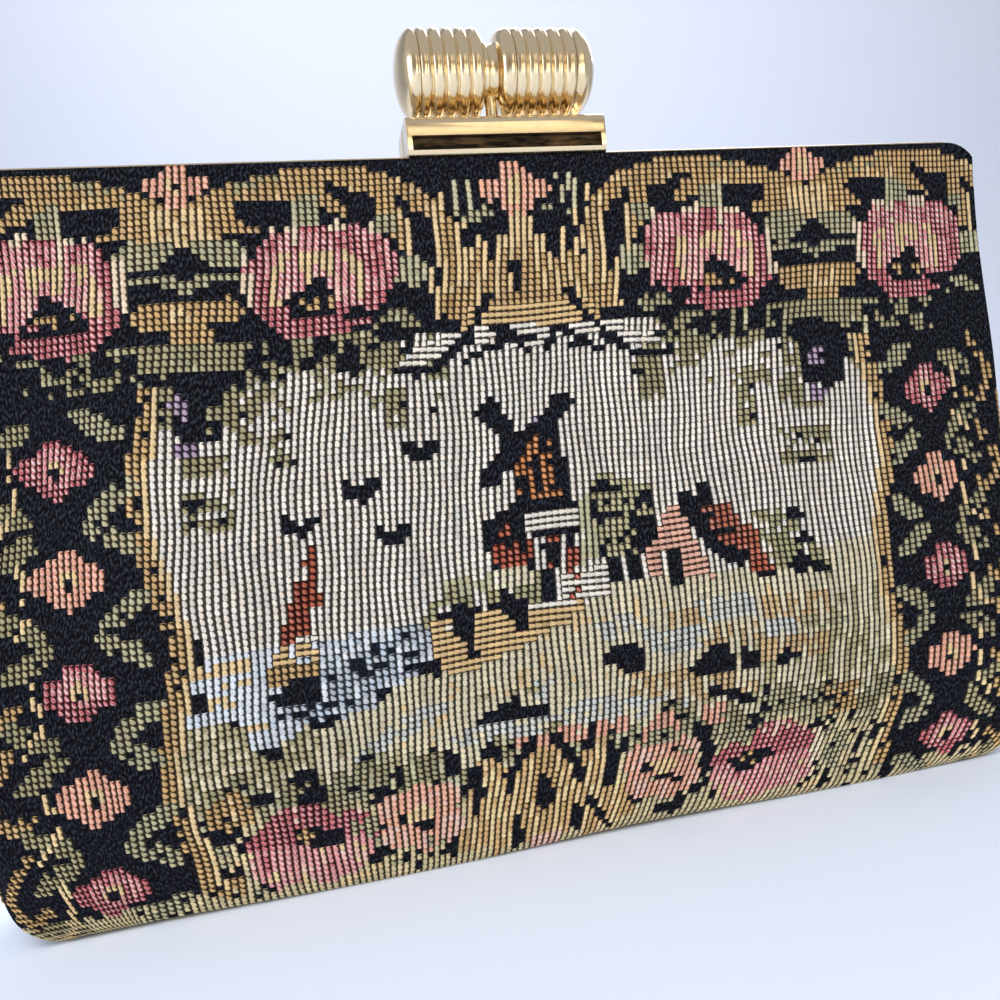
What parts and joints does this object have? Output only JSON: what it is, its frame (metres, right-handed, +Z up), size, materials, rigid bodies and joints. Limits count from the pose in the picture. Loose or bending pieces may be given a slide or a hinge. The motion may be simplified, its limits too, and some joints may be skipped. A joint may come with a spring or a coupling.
{
  "type": "tapestry clutch bag",
  "caption": "Small evening clutch of woven pictorial tapestry on a gilt hinged snap frame with a ribbed barrel clasp.",
  "frame": {"origin": "centre of the bounding box in plan, at the base that the bag stands on", "axes": "+X along the bag's width to the right as seen from the front, -Y out of the front, +Z up to the clasp"},
  "size_m": [0.204, 0.0322, 0.1541],
  "materials": {
    "tapestry": "woven wool and cotton tapestry with raised cords",
    "gusset_cloth": "plain black ribbed weave",
    "gilt": "polished pale gilt plating"
  },
  "bodies": {
    "root": {"tapestry_wrap": "tapestry", "gusset_left": "gusset_cloth", "gusset_right": "gusset_cloth", "frame_front": "gilt", "frame_back": "gilt", "hinge_pin_left": "gilt", "hinge_pin_right": "gilt", "clasp_plate_front": "gilt", "clasp_plate_back": "gilt", "clasp_knob_left": "gilt", "clasp_knob_right": "gilt"}
  },
  "joints": []
}
